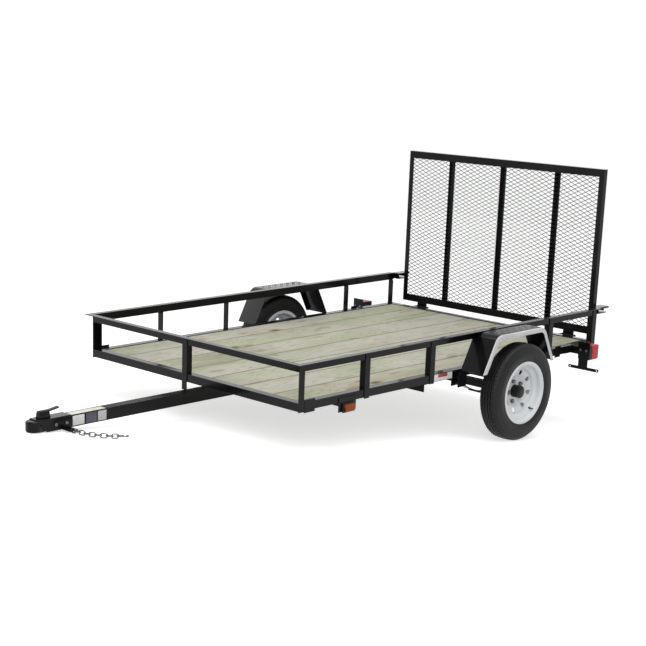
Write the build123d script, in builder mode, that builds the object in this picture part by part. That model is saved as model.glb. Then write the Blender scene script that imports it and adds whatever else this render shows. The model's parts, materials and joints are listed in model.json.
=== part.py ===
"""Single-axle utility trailer with a timber deck and a mesh ramp gate, parked on its coupler."""
import os
from math import asin, atan2, cos, degrees, hypot, radians, sin, sqrt

from build123d import *

# Driving dimensions in millimetres. The trailer is drawn level, with x forward from the axle,
# y to its left and z up from the ground under its wheels.
frame_front = 1542.0
frame_rear = -930.0
frame_half = 780.0
deck_height = 402.0
top_rail_height = 598.0
tyre_radius = 265.0
coupler_tip = 2547.0
gate_height = 960.0

# Rolled steel angles and sheet
steel = 4.0
rail_leg = 46.0
top_leg = 36.0
top_face = 42.0
post_leg = 36.0
cross_leg = 42.0

# Deck
board_thickness = 38.0
board_count = 7
board_gap = 3.0
rail_top = deck_height + steel
rail_bottom = deck_height - board_thickness
rail_inner = frame_half - steel

# Top rail: its upright leg stands over the lower rail, its flat leg reaches outward over the posts
top_half = rail_inner + top_leg
top_front = frame_front - steel + top_leg
top_rear = frame_rear - 3.0
top_under = top_rail_height - steel
top_low = top_rail_height - top_face

# Tongue, under the cross members
tongue_side = 60.0
tongue_wall = 5.0
tongue_top = rail_bottom - cross_leg
tongue_bottom = tongue_top - tongue_side
tongue_mid = tongue_top - tongue_side / 2
tongue_rear = frame_front - 974.0
tongue_front = coupler_tip - 95.0

# How far behind the frame's front the cross members' faces and the side posts' front edges lie
cross_setbacks = (360.0, 930.0, 1468.0, 1970.0)
cross_faces = [frame_front - setback for setback in cross_setbacks] + [frame_rear + 67.0]
post_setbacks = (465.0, 970.0, 2007.0)
post_edges = [frame_front - setback for setback in post_setbacks] + [frame_rear + post_leg]
middle_post_y = -11.0

# Coupler
sleeve_rear = coupler_tip - 231.0
sleeve_gap = 0.3
sleeve_skin = 3.5
socket_radius = 40.0
ball_radius = 25.7
ball_depth = 34.0
nose_round = 10.0
socket_x = coupler_tip - socket_radius
socket_bottom = tongue_bottom + 5.0
socket_top = socket_bottom + 54.0
lever_rear = coupler_tip - 180.0
lever_front = coupler_tip - 62.0
lever_seat = coupler_tip - 139.0

# Running gear
axle_side = 40.0
axle_z = tyre_radius
wheel_y = frame_half + 140.0
spring_y = frame_half - 20.0
spring_width = 36.0
leaf = 6.0
eye_x = 300.0
eye_z = rail_bottom - 34.0
eye_radius = 15.0
pin_radius = 6.0
spring_top = axle_z - axle_side / 2 - 0.5

# Wheel, measured from its centre plane outward
tyre_half = 60.0
rim_radius = 171.0
rim_half = 57.0
disc_plane = -18.0
lug_circle = 57.15
lug_count = 5
vent_circle = 103.0
vent_count = 8
hub_radius = 34.0
spindle_radius = 12.5
tyre_sides = 48
rim_sides = 36
hub_sides = 24
hole_sides = 12

# Fender sheet, its top just under the top rail's flat leg
fender_top = top_under
fender_bottom = rail_top - 9.0
fender_flat = 210.0
fender_reach = 314.0
fender_bend = 60.0
fender_sheet = 3.0
fender_lip = 26.0
fender_y = wheel_y + 13.0

# Ramp gate
gate_half = frame_half - 55.0
gate_front = frame_rear - 46.0
gate_bottom = deck_height + 23.0
gate_top = gate_bottom + gate_height
gate_leg = 32.0
gate_bar = 44.0
mesh_long = 51.0
mesh_short = 24.0
strand = 2.4
upright_y = gate_half - 330.0
upright_ys = (-upright_y, 0.0, upright_y)
upright_leg = 30.0

# Gate hinges and latches
hinge_x = gate_front - 4.0
hinge_z = deck_height - 11.0
hinge_y = gate_half - 160.0
hinge_ys = (-hinge_y, hinge_y)
lug_width = 70.0
ear = 8.0
knuckle = 13.0
latch_x = gate_front - 22.0
latch_z = top_rail_height - 18.0
latch_tip = gate_front - 65.0
latch_outer = frame_half + 10.0


def block(x0, x1, y0, y1, z0, z1, mode=Mode.ADD):
    """A plate between two opposite corners."""
    with Locations(((x0 + x1) / 2, (y0 + y1) / 2, (z0 + z1) / 2)):
        Box(abs(x1 - x0), abs(y1 - y0), abs(z1 - z0), mode=mode)


def rod_along_y(x, z, y0, y1, radius, mode=Mode.ADD):
    """A round bar that runs across the trailer."""
    with Locations(Location((x, (y0 + y1) / 2, z), (90, 0, 0))):
        Cylinder(radius, abs(y1 - y0), mode=mode)


nodes = {}


def keep(name, solid):
    """File one piece under its node name."""
    nodes[name] = solid


def keep_pair(name, solid):
    """File a left piece and its mirror image on the right."""
    keep(f"{name}_left", solid)
    keep(f"{name}_right", mirror(solid, about=Plane.XZ))


def keep_both(name, solid):
    """File a left piece and its mirror image as one node of like pieces."""
    with BuildPart() as both:
        add(solid)
        mirror(about=Plane.XZ)
    keep(name, both.part)


# Lower frame: angle rails with the flat leg on top, over the edges of the boards
with BuildPart() as side_rail:
    block(frame_rear + rail_leg, frame_front - rail_leg, frame_half - rail_leg, frame_half, deck_height, rail_top)
    block(frame_rear + steel, frame_front - steel, rail_inner, frame_half, rail_bottom, deck_height)
keep_pair("side_rail", side_rail.part)

with BuildPart() as front_rail:
    block(frame_front - rail_leg, frame_front, -frame_half, frame_half, deck_height, rail_top)
    block(frame_front - steel, frame_front, -frame_half, frame_half, rail_bottom, deck_height)
keep("front_rail", front_rail.part)

with BuildPart() as rear_rail:
    block(frame_rear, frame_rear + rail_leg, -frame_half, frame_half, deck_height, rail_top)
    block(frame_rear, frame_rear + steel, -frame_half, frame_half, rail_bottom, deck_height)
keep("rear_rail", rear_rail.part)

with BuildPart() as cross_members:
    for face in cross_faces:
        block(face - cross_leg, face, -frame_half, frame_half, rail_bottom - steel, rail_bottom)
        block(face - steel, face, -frame_half, frame_half, tongue_top, rail_bottom)
keep("cross_members", cross_members.part)

# Deck boards between the rails, with their edges under the flat legs
board_pitch = (2 * rail_inner - 1.0 + board_gap) / board_count
for number in range(board_count):
    board_y = -rail_inner + 0.5 + number * board_pitch
    with BuildPart() as board:
        block(frame_rear + steel + 0.5, frame_front - steel - 0.5, board_y, board_y + board_pitch - board_gap,
              rail_bottom, deck_height)
    keep(f"deck_board_{number + 1}", board.part)

# Top rail: upright legs over the lower rails, flat legs reaching outward
with BuildPart() as top_rail:
    block(top_rear, frame_front - steel, rail_inner, top_half, top_under, top_rail_height)
    block(top_rear, frame_front - steel, rail_inner, frame_half, top_low, top_under)
keep_pair("top_rail", top_rail.part)

with BuildPart() as top_rail_front:
    block(frame_front - steel, top_front, -top_half, top_half, top_under, top_rail_height)
    block(frame_front - steel, frame_front, -frame_half, frame_half, top_low, top_under)
keep("top_rail_front", top_rail_front.part)

# Posts: one leg flat on both rails, the other turned inward between them
post_foot = rail_bottom - 5.0
post_inner = frame_half + steel - post_leg
with BuildPart() as posts:
    for edge in post_edges:
        block(edge - post_leg, edge, frame_half, frame_half + steel, post_foot, top_under)
        block(edge - steel, edge, post_inner, frame_half, rail_top, top_low)
    corner_rear = frame_front - post_leg
    block(corner_rear, frame_front, frame_half, frame_half + steel, post_foot, top_under)
    block(corner_rear, corner_rear + steel, post_inner, frame_half, rail_top, top_low)
keep_both("posts", posts.part)

with BuildPart() as post_front:
    block(frame_front, frame_front + steel, middle_post_y - post_leg, middle_post_y, tongue_top, top_under)
    block(frame_front + steel - post_leg, frame_front, middle_post_y - steel, middle_post_y, rail_top, top_low)
keep("post_front", post_front.part)

# Tongue tube, and the stamped coupler that slides over its front end
with BuildPart() as tongue:
    half = tongue_side / 2
    bore = half - tongue_wall
    block(tongue_rear, tongue_front, -half, half, tongue_bottom, tongue_top)
    block(tongue_rear, tongue_front, -bore, bore, tongue_mid - bore, tongue_mid + bore, mode=Mode.SUBTRACT)
keep("tongue", tongue.part)

sleeve_inner = tongue_side / 2 + sleeve_gap
sleeve_outer = sleeve_inner + sleeve_skin
sleeve_roof = tongue_top + sleeve_gap + sleeve_skin
with BuildPart() as coupler:
    block(sleeve_rear, socket_x, -sleeve_outer, sleeve_outer, tongue_bottom, sleeve_roof)
    block(sleeve_rear, tongue_front + 4.0, -sleeve_inner, sleeve_inner, tongue_bottom,
          tongue_top + sleeve_gap, mode=Mode.SUBTRACT)
    block(socket_x, coupler_tip, -sleeve_outer, sleeve_outer, socket_top, sleeve_roof, mode=Mode.SUBTRACT)
    block(tongue_front + 4.0, socket_x, -sleeve_outer, sleeve_outer, tongue_bottom, socket_bottom,
          mode=Mode.SUBTRACT)
    with BuildSketch(Plane.XZ):
        with BuildLine():
            FilletPolyline((socket_x, socket_bottom), (coupler_tip, socket_bottom), (coupler_tip, socket_top),
                           (socket_x, socket_top), radius=nose_round)
            Line((socket_x, socket_top), (socket_x, socket_bottom))
        make_face()
    revolve(axis=Axis((socket_x, 0, 0), (0, 0, 1)))
    with Locations((socket_x, 0, socket_bottom)):
        Cylinder(ball_radius, ball_depth, align=(Align.CENTER, Align.CENTER, Align.MIN), mode=Mode.SUBTRACT)
keep("coupler", coupler.part)

# Latch lever: a bent strap that lies along the coupler's roof with its tail turned up
lever = 6.0
lever_roof = sleeve_roof + 23.0
with BuildPart() as coupler_latch:
    block(lever_seat, lever_front, -18.0, 18.0, sleeve_roof, lever_roof)
    with BuildSketch(Plane.XZ):
        with BuildLine():
            FilletPolyline((lever_front, lever_roof), (lever_seat - 6.0, lever_roof), (lever_rear, lever_roof + 14.0),
                           (lever_rear, lever_roof + 14.0 + lever), (lever_seat - 6.0, lever_roof + lever),
                           (lever_front, lever_roof + lever), radius=1.5)
            Line((lever_front, lever_roof + lever), (lever_front, lever_roof))
        make_face()
    extrude(amount=14.0, both=True)
keep("coupler_latch", coupler_latch.part)

# Chain bracket: a flat bar across the tongue's underside with a hole near each end
chain_bar_x = coupler_tip - 215.0
chain_hole_y = 64.0
chain_hole = 10.0
chain_edge_y = chain_hole_y + chain_hole + 7.0
chain_bar = 6.0
with BuildPart() as chain_bracket:
    block(chain_bar_x - 25.0, chain_bar_x + 25.0, -chain_edge_y, chain_edge_y, tongue_bottom - chain_bar,
          tongue_bottom)
    with Locations((chain_bar_x, chain_hole_y, tongue_bottom), (chain_bar_x, -chain_hole_y, tongue_bottom)):
        Cylinder(chain_hole, 4 * chain_bar, mode=Mode.SUBTRACT)
keep("chain_bracket", chain_bracket.part)

# Axle beam with a spindle at each end
beam_end = wheel_y - 77.0
spindle_end = wheel_y + 13.0
with BuildPart() as axle:
    block(-axle_side / 2, axle_side / 2, -beam_end, beam_end, axle_z - axle_side / 2, axle_z + axle_side / 2)
    rod_along_y(0, axle_z, -spindle_end, spindle_end, spindle_radius)
keep("axle", axle.part)

# Leaf springs slung under the axle, between hangers on the side rails
spring_inner = spring_y - spring_width / 2
spring_leaves = ((eye_x, 0.0), (0.63 * eye_x, leaf + 0.4))
with BuildPart() as spring:
    for reach, drop in spring_leaves:
        end_z = spring_top - drop + (eye_z - spring_top) * (reach / eye_x) ** 2
        with BuildSketch(Plane.XZ.offset(-spring_inner)):
            with BuildLine():
                low = ThreePointArc((-reach, end_z - leaf), (0, spring_top - drop - leaf), (reach, end_z - leaf))
                high = ThreePointArc((-reach, end_z), (0, spring_top - drop), (reach, end_z))
                Line(low @ 0, high @ 0)
                Line(low @ 1, high @ 1)
            make_face()
        extrude(amount=-spring_width)
    with BuildSketch(Plane.XZ.offset(-spring_inner)):
        with Locations((-eye_x, eye_z - 3.0), (eye_x, eye_z - 3.0)):
            Circle(eye_radius)
    extrude(amount=-spring_width)
    for end_x in (-eye_x, eye_x):
        rod_along_y(end_x, eye_z - 3.0, spring_inner, spring_inner + spring_width, pin_radius + 0.5, mode=Mode.SUBTRACT)
keep_pair("spring", spring.part)

with BuildPart() as hangers:
    for side in (-1, 1):
        x0 = side * eye_x - 34.0
        x1 = side * eye_x + 34.0
        block(x0, x1, spring_inner - 6.0, frame_half + steel, rail_bottom - steel, rail_bottom)
        block(x0, x1, spring_inner - 6.0, spring_inner - 2.0, eye_z - 22.0, rail_bottom)
        block(x0, x1, frame_half, frame_half + steel, eye_z - 22.0, rail_bottom + 24.0)
        rod_along_y(side * eye_x, eye_z - 3.0, spring_inner - 12.0, frame_half + steel + 8.0, pin_radius)
keep_both("hangers", hangers.part)

clamp_x = axle_side / 2 + 7.0
clamp_plate = spring_top - 2 * leaf - 0.4
with BuildPart() as axle_clamp:
    block(-clamp_x - 12.0, clamp_x + 12.0, spring_y - 34.0, spring_y + 34.0, clamp_plate - 7.0, clamp_plate)
    for leg_y in (spring_y - 25.0, spring_y + 25.0):
        for leg_x in (-clamp_x, clamp_x):
            block(leg_x - 5.0, leg_x + 5.0, leg_y - 5.0, leg_y + 5.0, clamp_plate - 18.0, axle_z + axle_side / 2)
        block(-clamp_x - 5.0, clamp_x + 5.0, leg_y - 5.0, leg_y + 5.0, axle_z + axle_side / 2,
              axle_z + axle_side / 2 + 10.0)
keep_both("axle_clamps", axle_clamp.part)


def faceted_ring(section, sides):
    """A ring of flat facets about the y axis, from a closed section of radius and place along it."""

    def corner(point, number):
        radius, place = point
        angle = radians(number * 360.0 / sides)
        return radius * cos(angle), place, radius * sin(angle)

    facets = []
    for start, end in zip(section, (*section[1:], section[0])):
        for number in range(sides):
            loop = (corner(start, number), corner(end, number), corner(end, number + 1), corner(start, number + 1))
            facets.append(Face(Wire.make_polygon(loop)))
    return Solid(Shell(facets))


def both_ways(path):
    """A path on the outer side of the wheel's centre plane, and back on the inner side."""
    return (*path, *((radius, -place) for radius, place in reversed(path)))


# Wheel pieces, drawn around the y axis and then carried out to the hub
bead = 151.5
tyre_outside = ((bead, 30.0), (bead, 39.5), (157.5, 48.0), (172.0, 51.5), (180.0, 57.0), (212.0, tyre_half),
                (tyre_radius - 19.0, 53.0), (tyre_radius, 34.0))
tyre_inside = ((158.0, -34.0), (212.0, -51.0), (tyre_radius - 14.0, -28.0))
with BuildPart() as tyre:
    add(faceted_ring((*both_ways(tyre_outside), *both_ways(tyre_inside)), tyre_sides))

rim_section = ((rim_radius, rim_half), (rim_radius, rim_half - 5.0), (157.0, rim_half - 8.0), (151.0, 40.0),
               (151.0, 28.0), (128.0, 18.0), (128.0, -14.0), (151.0, -24.0), (151.0, -40.0),
               (157.0, 8.0 - rim_half), (rim_radius, 5.0 - rim_half), (rim_radius, -rim_half),
               (154.0, 2.0 - rim_half), (147.0, -43.0), (147.0, -26.0), (124.0, -16.0), (124.0, 0.0),
               (112.0, 4.0), (96.0, 0.0), (78.0, disc_plane), (hub_radius + 0.5, disc_plane),
               (hub_radius + 0.5, disc_plane + 4.0), (76.0, disc_plane + 4.0), (95.0, 4.0), (112.0, 8.0),
               (124.0, 6.0), (124.0, 20.0), (147.0, 30.0), (147.0, 43.0), (154.0, rim_half - 2.0))
with BuildPart() as rim:
    add(faceted_ring(rim_section, rim_sides))
    with BuildSketch(Plane((0, disc_plane - 5.0, 0), x_dir=(1, 0, 0), z_dir=(0, 1, 0))):
        with PolarLocations(lug_circle, lug_count):
            RegularPolygon(7.0, hole_sides)
        with PolarLocations(vent_circle, vent_count, start_angle=-11.0):
            RegularPolygon(14.0, hole_sides)
    extrude(amount=40.0, mode=Mode.SUBTRACT)

# hub: radius, sides, start and length along the axle line
hub_steps = ((hub_radius, hub_sides, -67.0, 98.0), (72.0, hub_sides, disc_plane - 8.0, 8.0),
             (24.0, hub_sides, 31.0, 4.0))
hub_bolts = ((6.0, hole_sides, disc_plane, 18.0), (11.0, 6, disc_plane + 4.0, 10.0))
with BuildPart() as hub:
    for radius, sides, start, length in hub_steps:
        with BuildSketch(Plane((0, start, 0), x_dir=(1, 0, 0), z_dir=(0, 1, 0))):
            RegularPolygon(radius, sides)
        extrude(amount=length)
    for radius, sides, start, length in hub_bolts:
        with BuildSketch(Plane((0, start, 0), x_dir=(1, 0, 0), z_dir=(0, 1, 0))):
            with PolarLocations(lug_circle, lug_count):
                RegularPolygon(radius, sides)
        extrude(amount=length)
    with BuildSketch(Plane((0, -67.0, 0), x_dir=(1, 0, 0), z_dir=(0, 1, 0))):
        RegularPolygon(spindle_radius + 0.6, hub_sides)
    extrude(amount=83.0, mode=Mode.SUBTRACT)

hub_place = Location((0, wheel_y, axle_z))
keep_pair("tyre", tyre.part.moved(hub_place))
keep_pair("rim", rim.part.moved(hub_place))
keep_pair("hub", hub.part.moved(hub_place))


def fender_corners(inset, foot):
    """Half lengths and top of the fender's side profile, moved inward by a distance."""
    lean = (fender_reach - fender_flat) / (fender_top - fender_bottom)
    side_shift = inset * sqrt(1 + lean * lean)
    crown = fender_flat + lean * inset - side_shift
    base = fender_reach + lean * (fender_bottom - foot) - side_shift
    return base, crown, fender_top - inset


# Fender: a bent sheet, hollowed from the frame side, with a lip turned down at its outer edge
fender_width = fender_y - frame_half
fender_steps = ((0.0, fender_bottom, fender_width, Mode.ADD),
                (fender_sheet, fender_bottom - 5.0, fender_width - fender_sheet, Mode.SUBTRACT),
                (fender_lip, fender_bottom - 20.0, fender_width, Mode.SUBTRACT))
with BuildPart() as fender:
    for inset, foot, depth, step_mode in fender_steps:
        base, crown, top = fender_corners(inset, foot)
        with BuildSketch(Plane.XZ.offset(-frame_half)):
            with BuildLine():
                FilletPolyline((-base, foot), (-crown, top), (crown, top), (base, foot), radius=fender_bend - inset)
                Line((base, foot), (-base, foot))
            make_face()
        extrude(amount=-depth, mode=step_mode)
keep_pair("fender", fender.part)

# Amber side markers on plates that hang from the side rails
marker_plate = (frame_front - 405.0, frame_front - 280.0)
marker_face = (frame_front - 386.0, frame_front - 304.0)
marker_low = rail_bottom - 47.0
marker_depth = 20.0
with BuildPart() as marker_bracket:
    block(*marker_plate, frame_half, frame_half + steel, marker_low, rail_bottom + 27.0)
keep_both("marker_brackets", marker_bracket.part)

with BuildPart() as marker_lens:
    block(*marker_face, frame_half + steel, frame_half + steel + marker_depth, marker_low - 4.0, rail_bottom - 3.0)
    rim_edges = marker_lens.faces().sort_by(Axis.Y)[-1].edges()
    fillet(rim_edges, radius=6.0)
keep_both("marker_lenses", marker_lens.part)

tie_edges = ((frame_front - 112.0, frame_front - post_leg - 2.0), (frame_rear + 342.0, frame_rear + 392.0))
with BuildPart() as tie_plates:
    for x0, x1 in tie_edges:
        block(x0, x1, frame_half, frame_half + steel, rail_bottom - 11.0, rail_top + 12.0)
keep_both("tie_plates", tie_plates.part)

# Tail lamps on plates that an arm holds out from the side rails, and the bare plate bar under the left one
lamp_face = frame_rear + 228.0
lamp_inner = frame_half + 48.0
lamp_outer = lamp_inner + 78.0
lamp_top = rail_top + 14.0
lamp_low = lamp_top - 84.0
lamp_base = 24.0
lamp_depth = 90.0
arm_front = lamp_face + 66.0
with BuildPart() as tail_bracket:
    block(lamp_face, lamp_face + steel, frame_half, lamp_inner, rail_bottom, rail_top)
    block(lamp_face, lamp_face + steel, lamp_inner, lamp_outer, lamp_low + 24.0, lamp_top + 18.0)
    with BuildSketch(Plane.XZ.offset(-frame_half)):
        with BuildLine():
            Polyline((lamp_face, rail_bottom), (arm_front, rail_bottom), (arm_front, rail_bottom + 20.0),
                     (lamp_face, rail_top), close=True)
        make_face()
    extrude(amount=-steel)
keep("tail_bracket_right", mirror(tail_bracket.part, about=Plane.XZ))

stem_y = lamp_inner + 38.0
plate_bar_y = stem_y + 6.0
plate_bar_z = lamp_low - 50.0
plate_bar_width = 205.0
plate_slot_y = 89.0
with BuildPart() as tail_bracket_left:
    add(tail_bracket.part)
    block(lamp_face, lamp_face + steel, stem_y - 31.0, stem_y + 31.0, plate_bar_z, lamp_low + 24.0)
    with BuildSketch(Plane.YZ.offset(lamp_face)):
        with Locations((plate_bar_y, plate_bar_z)):
            SlotOverall(plate_bar_width, 18.0)
    extrude(amount=steel)
    with Locations(Location((lamp_face, plate_bar_y, plate_bar_z), (0, 90, 0))):
        with Locations((0, -plate_slot_y), (0, plate_slot_y)):
            Cylinder(4.0, 20.0, mode=Mode.SUBTRACT)
keep("tail_bracket_left", tail_bracket_left.part)

with BuildPart() as tail_housing:
    block(lamp_face - lamp_base, lamp_face, lamp_inner, lamp_outer, lamp_low, lamp_top)
    fillet(tail_housing.edges().filter_by(Axis.X), radius=7.0)
keep_both("tail_housings", tail_housing.part)

with BuildPart() as tail_lens:
    block(lamp_face - lamp_depth, lamp_face - lamp_base, lamp_inner, lamp_outer, lamp_low, lamp_top)
    fillet(tail_lens.edges().filter_by(Axis.X), radius=7.0)
    fillet(tail_lens.faces().sort_by(Axis.X)[0].edges(), radius=4.0)
keep_both("tail_lenses", tail_lens.part)

# Forked latches on the ends of the top rails, open to the rear
with BuildPart() as latch:
    fork_y0 = gate_half + 8.0
    fork_y1 = latch_outer
    block(latch_tip, top_rear, fork_y0, fork_y1, latch_z + 8.0, top_rail_height)
    block(latch_x - 18.0, top_rear, fork_y0, fork_y1, latch_z - 18.0, latch_z - 12.0)
    block(top_rear - 6.0, top_rear, fork_y0, fork_y1, latch_z - 18.0, top_rail_height)
keep_both("latches", latch.part)

# Hinge ears and pins on the rear rail
with BuildPart() as hinge_ears:
    for middle in hinge_ys:
        for side in (-1, 1):
            inner = middle + side * (lug_width / 2 + 1.5)
            block(hinge_x - knuckle, frame_rear, inner, inner + side * ear, hinge_z - knuckle, hinge_z + knuckle)
        reach = lug_width / 2 + 1.5 + ear + 5.0
        rod_along_y(hinge_x, hinge_z, middle - reach, middle + reach, 7.0)
keep("hinge_ears", hinge_ears.part)

# Ramp gate: angle perimeter, hinge lugs and latch pins in one piece
gate_rear = gate_front - gate_leg
with BuildPart() as gate_frame:
    block(gate_rear, gate_front, -gate_half, gate_half, gate_bottom, gate_top)
    block(gate_rear, gate_front - steel, steel - gate_half, gate_half - steel, gate_bottom + steel,
          gate_top - steel, mode=Mode.SUBTRACT)
    block(gate_rear, gate_front, gate_leg - gate_half, gate_half - gate_leg, gate_bottom + gate_bar,
          gate_top - gate_bar, mode=Mode.SUBTRACT)
    for middle in hinge_ys:
        block(hinge_x - 5.0, hinge_x + 5.0, middle - lug_width / 2, middle + lug_width / 2, hinge_z,
              gate_bottom + 1.0)
        rod_along_y(hinge_x, hinge_z, middle - lug_width / 2, middle + lug_width / 2, knuckle)
        rod_along_y(hinge_x, hinge_z, middle - lug_width, middle + lug_width, 7.5, mode=Mode.SUBTRACT)
    for side in (-1, 1):
        rod_along_y(latch_x, latch_z, side * (gate_half - 1.0), side * (latch_outer - 8.0), 6.0)
keep("gate_frame", gate_frame.part)

mesh_front = gate_front - steel - 0.3
mesh_depth = 1.5
upright_face = mesh_front - 2 * mesh_depth - 0.8
with BuildPart() as gate_uprights:
    for middle in upright_ys:
        y0 = middle - upright_leg / 2
        y1 = middle + upright_leg / 2
        block(gate_rear, gate_rear + steel, y0, y1, gate_bottom + steel, gate_top - steel)
        block(gate_rear + steel, upright_face, y0, y0 + steel, gate_bottom + steel, gate_top - steel)
keep("gate_uprights", gate_uprights.part)

# Expanded metal: two layers of slanting strands
mesh_half = gate_half - steel - 0.5
mesh_low = gate_bottom + steel + 0.5
mesh_high = gate_top - steel - 0.5
mesh_slope = mesh_short / mesh_long


def strand_ends(offset, slope):
    """Where a slanting strand enters and leaves the gate's opening."""
    y0 = -mesh_half
    y1 = mesh_half
    low_y = (mesh_low - offset) / slope
    high_y = (mesh_high - offset) / slope
    start = max(y0, min(low_y, high_y))
    end = min(y1, max(low_y, high_y))
    return start, end


with BuildPart() as gate_mesh:
    strands = []
    rise = mesh_half * mesh_slope
    rows = int((mesh_high - mesh_low + 2 * rise) / mesh_short) + 1
    for layer, slope in enumerate((mesh_slope, -mesh_slope)):
        layer_x = mesh_front - mesh_depth / 2 - layer * (mesh_depth + 0.3)
        for row in range(rows):
            offset = mesh_low - rise + (row + 0.5) * mesh_short
            start, end = strand_ends(offset, slope)
            if end - start < 3 * strand:
                continue
            middle = (start + end) / 2
            length = (end - start) * sqrt(1 + slope * slope) - 2 * strand
            turn = degrees(atan2(slope, 1.0))
            place = Location((layer_x, middle, offset + slope * middle), (turn, 0, 0))
            strands.append(Box(mesh_depth, length, strand, mode=Mode.PRIVATE).moved(place))
    add(strands)
keep("gate_mesh", gate_mesh.part)

# Parked attitude: nose down about the axle until the coupler's rounded nose meets the floor
nose_x = coupler_tip - nose_round
nose_drop = axle_z - socket_bottom - nose_round
nose_span = hypot(nose_x, nose_drop)
park_angle = degrees(asin((axle_z - nose_round) / nose_span) - atan2(nose_drop, nose_x))
parked = Location((0, 0, axle_z), (0, park_angle, 0)) * Location((0, 0, -axle_z))
for name in list(nodes):
    nodes[name] = nodes[name].moved(parked)

# Safety chains: upright and flat links in turn, from the bracket out and back along the floor,
# each ending in an open hook
link_rod = 6.0
link_pitch = 27.0
link_inner = 14.0
link_slack = 2.3
link_count = 9
link_turn = 9.0
hook_inner = 11.0
hook_mouth = 14.0
link_slot = link_pitch + link_slack - link_inner


def link_outline(width, mode=Mode.ADD):
    """A long octagon, the outline of a link with its ends cut to flats."""
    half = width / 2
    flat = half * (sqrt(2) - 1)
    reach = link_slot / 2
    corners = ((reach + half, flat), (reach + flat, half))
    Polygon(*corners, *((-x, y) for x, y in reversed(corners)), *((-x, -y) for x, y in corners),
            *((x, -y) for x, y in reversed(corners)), align=None, mode=mode)


eye = (parked * Location((chain_bar_x, chain_hole_y, tongue_bottom - chain_bar / 2))).position
with BuildPart() as chain:
    link_x = eye.X
    link_y = eye.Y - 2.5 + (link_slot + link_inner) / 2
    for number in range(link_count + 1):
        heading = 90.0 + number * link_turn
        flat = number % 2 == 1
        place = Location((link_x, link_y, eye.Z), (0, 0, heading))
        face = Plane(place * Location((0, 0, 0), (0 if flat else 90, 0, 0)))
        with BuildSketch(face):
            link_outline(link_inner + 2 * link_rod)
            if number == link_count:
                hook_x = (link_slot + link_inner) / 2 + link_rod / 2 + hook_inner
                with Locations((hook_x, 0)):
                    RegularPolygon(hook_inner + link_rod, hole_sides)
                    RegularPolygon(hook_inner, hole_sides, mode=Mode.SUBTRACT)
                with Locations((hook_x + 4.0, hook_inner + link_rod / 2)):
                    Rectangle(hook_mouth, 2 * link_rod, mode=Mode.SUBTRACT)
            link_outline(link_inner, mode=Mode.SUBTRACT)
        extrude(amount=link_rod / 2, both=True)
        step = heading + link_turn / 2
        link_x += link_pitch * cos(radians(step))
        link_y += link_pitch * sin(radians(step))
keep_pair("chain", chain.part)

# The origin lies on the floor under the middle of the parked trailer
rear_end = min(solid.bounding_box().min.X for solid in nodes.values())
front_end = max(solid.bounding_box().max.X for solid in nodes.values())
centre = Location((-(rear_end + front_end) / 2, 0, 0))

os.makedirs("parts", exist_ok=True)
for name, solid in nodes.items():
    placed = solid.moved(centre)
    placed.label = name
    export_step(placed, f"parts/{name}.step")
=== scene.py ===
"""Looks for a single-axle utility trailer with a timber deck and an expanded metal ramp gate."""
import json
from math import atan2, cos, hypot, pi, radians, sin, tan

import bmesh
import bpy
from mathutils import Matrix, Vector


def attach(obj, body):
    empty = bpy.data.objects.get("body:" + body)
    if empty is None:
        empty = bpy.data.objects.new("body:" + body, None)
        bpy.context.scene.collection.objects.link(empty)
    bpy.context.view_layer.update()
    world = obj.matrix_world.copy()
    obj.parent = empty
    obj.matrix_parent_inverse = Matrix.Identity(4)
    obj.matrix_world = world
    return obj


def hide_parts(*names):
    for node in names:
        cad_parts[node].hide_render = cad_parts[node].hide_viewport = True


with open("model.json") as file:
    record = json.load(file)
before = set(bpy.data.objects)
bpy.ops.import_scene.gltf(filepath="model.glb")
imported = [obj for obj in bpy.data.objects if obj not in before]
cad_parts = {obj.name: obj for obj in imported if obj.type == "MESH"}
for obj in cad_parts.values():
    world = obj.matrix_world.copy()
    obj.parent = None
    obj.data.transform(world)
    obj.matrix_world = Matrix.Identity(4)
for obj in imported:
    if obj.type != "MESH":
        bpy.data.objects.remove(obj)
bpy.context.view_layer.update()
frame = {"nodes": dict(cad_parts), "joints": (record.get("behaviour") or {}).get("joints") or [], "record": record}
nodes = frame["nodes"]

# Stance: the trailer stands on its wheels with its nose down on the floor. Its pieces are modelled
# level, in metres ahead of the axle, left of the middle and above the ground, and then parked.
record = frame["record"]
mounts = {mount["name"]: mount for mount in record["mounts"]}
joints = {joint["name"]: joint for joint in frame["joints"]}
axle_height = 0.265
wheel_left = Vector(joints["wheel_left_spin"]["pos_m"])
wheel_y = wheel_left.y
trailer_up = -Vector(mounts["ball_socket"]["axis"])
trailer_left = Vector((0.0, 1.0, 0.0))
trailer_forward = trailer_left.cross(trailer_up)
parked = Matrix((trailer_forward, trailer_left, trailer_up)).transposed().to_4x4()
parked.translation = Vector((wheel_left.x, 0.0, wheel_left.z)) - trailer_up * axle_height

# Camera: it looks down on the trailer from ahead of its left front corner, from about eight metres
# away, and is carried along with the trailer's lean so that the picture stays the same.
camera_data = bpy.data.cameras.new("camera")
camera_data.sensor_width = 36.0
camera_data.lens = 84.29
camera_data.shift_x = 0.098
camera_data.shift_y = 0.1682
camera_data.clip_end = 200.0
camera = bpy.data.objects.new("camera", camera_data)
bpy.context.scene.collection.objects.link(camera)
camera_heading, camera_tilt, camera_roll = radians(225.36), radians(-14.99), radians(1.55)
camera_level = (Matrix.Translation((6.5506, 5.5976, 2.1239))
                @ Matrix.Rotation(camera_heading - pi / 2, 4, "Z")
                @ Matrix.Rotation(camera_tilt + pi / 2, 4, "X")
                @ Matrix.Rotation(camera_roll, 4, "Z"))
camera.matrix_world = parked @ camera_level
bpy.context.scene.camera = camera

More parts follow.
